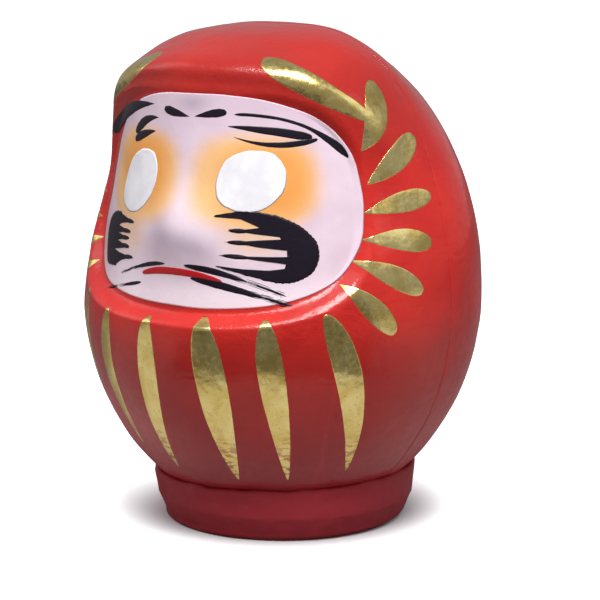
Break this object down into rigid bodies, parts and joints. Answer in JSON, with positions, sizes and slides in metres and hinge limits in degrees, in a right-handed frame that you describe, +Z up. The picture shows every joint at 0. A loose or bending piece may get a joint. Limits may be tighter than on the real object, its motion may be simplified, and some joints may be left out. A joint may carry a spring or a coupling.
{
  "type": "daruma doll",
  "caption": "Round hollow papier-mache daruma doll with a sunk painted face, gold foil brush strokes and a weighted collar foot.",
  "frame": {"origin": "middle of the underside of the foot", "axes": "+Z up; the face looks along -Y; +X is the doll's own left"},
  "size_m": [0.1142, 0.1132, 0.1404],
  "materials": {
    "red_lacquer_paper": "glossy varnished red paint over moulded paper",
    "clay": "dry unglazed clay",
    "card": "matt grey card",
    "face_white": "satin pale pink-white chalk paint with an orange airbrushed halo",
    "eye_white": "matt white paint",
    "mouth_red": "red paint",
    "black_ink": "black brush paint with a soft gloss",
    "gold_foil": "bright mirror gold foil, slightly crinkled"
  },
  "bodies": {
    "root": {"shell_front": "red_lacquer_paper", "shell_back": "red_lacquer_paper", "seam_strip": "red_lacquer_paper", "foot_weight": "clay", "foot_wrap": "red_lacquer_paper", "base_card": "card", "face_coat": "face_white", "eye_white_left": "eye_white", "eye_white_right": "eye_white", "brow_mark_left": "black_ink", "brow_mark_right": "black_ink", "brow_top_left": "black_ink", "brow_top_right": "black_ink", "brow_middle_left": "black_ink", "brow_middle_right": "black_ink", "brow_low_left": "black_ink", "brow_low_right": "black_ink", "moustache_left": "black_ink", "moustache_right": "black_ink", "mouth_red": "mouth_red", "mouth_line_left": "black_ink", "mouth_line_right": "black_ink", "chin_line_left": "black_ink", "chin_line_right": "black_ink", "chest_foil_1": "gold_foil", "chest_foil_2": "gold_foil", "chest_foil_3": "gold_foil", "chest_foil_4": "gold_foil", "chest_foil_5": "gold_foil", "chest_foil_6": "gold_foil", "fan_foil_left_1": "gold_foil", "fan_foil_left_2": "gold_foil", "fan_foil_left_3": "gold_foil", "fan_foil_left_4": "gold_foil", "fan_foil_left_5": "gold_foil", "fan_foil_left_6": "gold_foil", "fan_foil_left_7": "gold_foil", "fan_foil_right_1": "gold_foil", "fan_foil_right_2": "gold_foil", "fan_foil_right_3": "gold_foil", "fan_foil_right_4": "gold_foil", "fan_foil_right_5": "gold_foil", "fan_foil_right_6": "gold_foil", "fan_foil_right_7": "gold_foil"}
  },
  "joints": []
}
